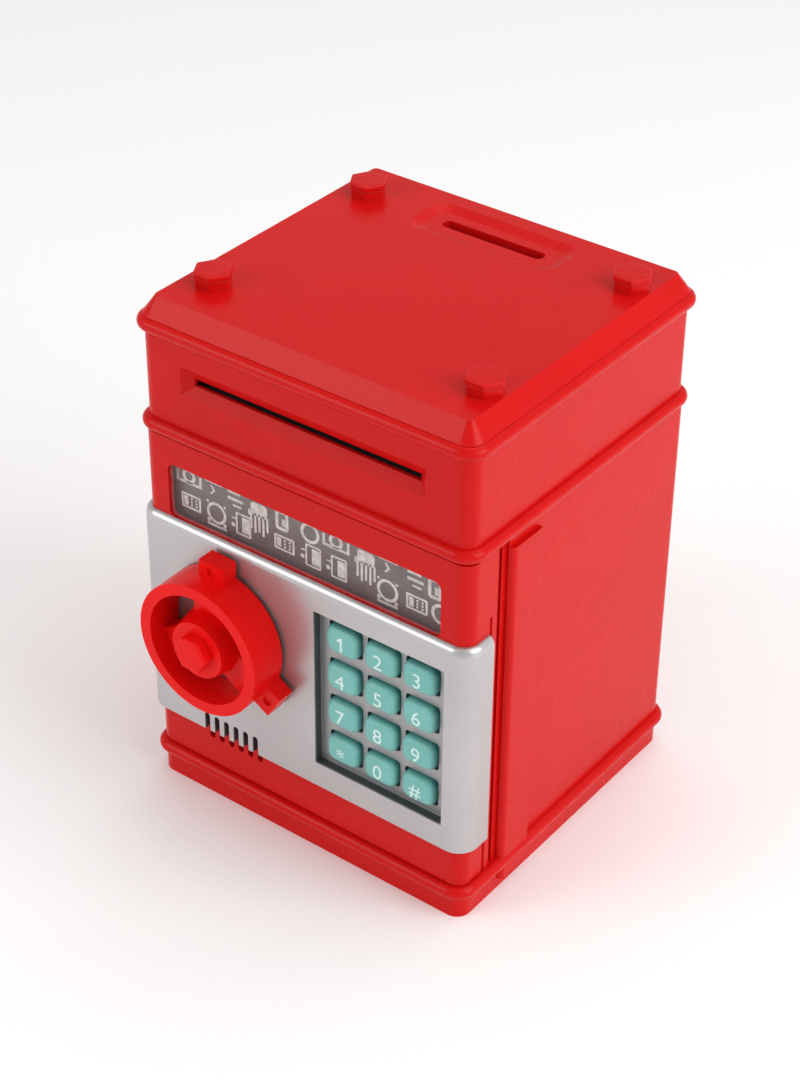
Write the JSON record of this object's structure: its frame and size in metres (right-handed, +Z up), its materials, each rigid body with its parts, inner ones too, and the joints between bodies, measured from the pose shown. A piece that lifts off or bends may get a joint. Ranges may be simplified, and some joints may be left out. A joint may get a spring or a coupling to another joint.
{
  "type": "toy atm savings bank",
  "caption": "Toy cash-machine coin bank: beaded box case with a bolted lid, coin and note slots, and a hinged door with a window, number keys and a hand wheel.",
  "frame": {"origin": "middle of the flat underside that the bank rests on", "axes": "+Z up; +X to the right as seen from the front; the door, keys and hand wheel face -Y"},
  "size_m": [0.1318, 0.1416, 0.189],
  "materials": {
    "case_red": "satin moulded plastic",
    "panel_silver": "fine silver paint on moulded plastic",
    "clear_window": "clear styrene",
    "printed_film": "printed film",
    "key_teal": "satin",
    "black_plastic": "matt",
    "soft_rubber": "matt",
    "membrane_rubber": "matt",
    "cell_wrap": "shrink wrap",
    "bright_steel": "zinc plated",
    "cream_plastic": "natural acetal",
    "circuit_board": "green solder mask",
    "brass_gear": "machined"
  },
  "bodies": {
    "case": {"base_plate": "case_red", "battery_tray": "black_plastic", "battery_contacts": "bright_steel", "battery_springs": "bright_steel", "battery_cells": "cell_wrap", "base_screws": "bright_steel", "main_shell": "case_red", "latch_keeper": "bright_steel", "hinge_pins": "bright_steel", "head_shell": "case_red", "head_screws": "bright_steel", "top_lid": "case_red", "lid_bolts": "case_red", "coin_chute": "cream_plastic", "feed_frame": "black_plastic", "note_guide_upper": "black_plastic", "note_sensor": "circuit_board", "feed_motor": "bright_steel", "motor_bracket": "cream_plastic", "idler_pin": "bright_steel", "main_board": "circuit_board"},
    "battery_cover": {"battery_cover": "case_red", "battery_cover_screw": "bright_steel"},
    "door": {"door_shell": "case_red", "keypad_panel": "panel_silver", "window_pane": "clear_window", "window_film": "printed_film", "key_membrane": "membrane_rubber", "key_board": "circuit_board", "speaker": "black_plastic", "door_back_cover": "case_red", "door_screws": "bright_steel", "lock_solenoid": "bright_steel"},
    "knob": {"hand_wheel": "case_red", "hub_nut": "case_red", "wheel_shaft": "bright_steel", "latch_pinion": "brass_gear"},
    "bolt": {"latch_bolt": "bright_steel"},
    "plunger": {"solenoid_plunger": "bright_steel"},
    "drive_rollers": {"drive_shaft": "bright_steel", "drive_rollers": "soft_rubber", "drive_gear": "cream_plastic"},
    "pinch_rollers": {"pinch_shaft": "bright_steel", "pinch_rollers": "cream_plastic"},
    "idler": {"idler_gear": "cream_plastic"},
    "rotor": {"motor_pinion": "brass_gear"},
    "key_1": {"key_1": "key_teal"},
    "key_2": {"key_2": "key_teal"},
    "key_3": {"key_3": "key_teal"},
    "key_4": {"key_4": "key_teal"},
    "key_5": {"key_5": "key_teal"},
    "key_6": {"key_6": "key_teal"},
    "key_7": {"key_7": "key_teal"},
    "key_8": {"key_8": "key_teal"},
    "key_9": {"key_9": "key_teal"},
    "key_star": {"key_star": "key_teal"},
    "key_0": {"key_0": "key_teal"},
    "key_hash": {"key_hash": "key_teal"}
  },
  "joints": [
    {"name": "door_hinge", "type": "hinge", "parent": "case", "child": "door", "pos_m": [0.061, -0.0454, 0.0754], "axis": [0, 0, 1], "range_deg": [0, 100]},
    {"name": "wheel_turn", "type": "hinge", "parent": "door", "child": "knob", "pos_m": [-0.0291, -0.0592, 0.0755], "axis": [0, -1, 0], "range_deg": [0, 90]},
    {"name": "bolt_slide", "type": "slide", "parent": "door", "child": "bolt", "axis": [-1, 0, 0], "range_m": [0, 0.00629]},
    {"name": "plunger_slide", "type": "slide", "parent": "door", "child": "plunger", "axis": [0, 0, 1], "range_m": [-0.003, 0], "stiffness_N_per_m": 200},
    {"name": "battery_cover_off", "type": "slide", "parent": "case", "child": "battery_cover", "axis": [0, 0, -1], "range_m": [0, 0.03]},
    {"name": "drive_spin", "type": "hinge", "parent": "case", "child": "drive_rollers", "pos_m": [0, -0.038, 0.1528], "axis": [1, 0, 0], "continuous": true},
    {"name": "pinch_spin", "type": "hinge", "parent": "case", "child": "pinch_rollers", "pos_m": [0, -0.038, 0.1637], "axis": [1, 0, 0], "continuous": true},
    {"name": "idler_spin", "type": "hinge", "parent": "case", "child": "idler", "pos_m": [-0.0488, -0.0188, 0.1528], "axis": [1, 0, 0], "continuous": true},
    {"name": "rotor_spin", "type": "hinge", "parent": "case", "child": "rotor", "pos_m": [-0.0488, -0.0036, 0.1528], "axis": [1, 0, 0], "continuous": true},
    {"name": "key_1_press", "type": "slide", "parent": "door", "child": "key_1", "axis": [0, 1, 0], "range_m": [0, 0.0012], "stiffness_N_per_m": 400},
    {"name": "key_2_press", "type": "slide", "parent": "door", "child": "key_2", "axis": [0, 1, 0], "range_m": [0, 0.0012], "stiffness_N_per_m": 400},
    {"name": "key_3_press", "type": "slide", "parent": "door", "child": "key_3", "axis": [0, 1, 0], "range_m": [0, 0.0012], "stiffness_N_per_m": 400},
    {"name": "key_4_press", "type": "slide", "parent": "door", "child": "key_4", "axis": [0, 1, 0], "range_m": [0, 0.0012], "stiffness_N_per_m": 400},
    {"name": "key_5_press", "type": "slide", "parent": "door", "child": "key_5", "axis": [0, 1, 0], "range_m": [0, 0.0012], "stiffness_N_per_m": 400},
    {"name": "key_6_press", "type": "slide", "parent": "door", "child": "key_6", "axis": [0, 1, 0], "range_m": [0, 0.0012], "stiffness_N_per_m": 400},
    {"name": "key_7_press", "type": "slide", "parent": "door", "child": "key_7", "axis": [0, 1, 0], "range_m": [0, 0.0012], "stiffness_N_per_m": 400},
    {"name": "key_8_press", "type": "slide", "parent": "door", "child": "key_8", "axis": [0, 1, 0], "range_m": [0, 0.0012], "stiffness_N_per_m": 400},
    {"name": "key_9_press", "type": "slide", "parent": "door", "child": "key_9", "axis": [0, 1, 0], "range_m": [0, 0.0012], "stiffness_N_per_m": 400},
    {"name": "key_star_press", "type": "slide", "parent": "door", "child": "key_star", "axis": [0, 1, 0], "range_m": [0, 0.0012], "stiffness_N_per_m": 400},
    {"name": "key_0_press", "type": "slide", "parent": "door", "child": "key_0", "axis": [0, 1, 0], "range_m": [0, 0.0012], "stiffness_N_per_m": 400},
    {"name": "key_hash_press", "type": "slide", "parent": "door", "child": "key_hash", "axis": [0, 1, 0], "range_m": [0, 0.0012], "stiffness_N_per_m": 400}
  ],
  "couplings": [
    {"joint": "bolt_slide", "follows": "wheel_turn", "m_per_rad": 0.004},
    {"joint": "pinch_spin", "follows": "drive_spin", "ratio": -1.5},
    {"joint": "idler_spin", "follows": "drive_spin", "ratio": -0.71429},
    {"joint": "rotor_spin", "follows": "drive_spin", "ratio": 2}
  ]
}
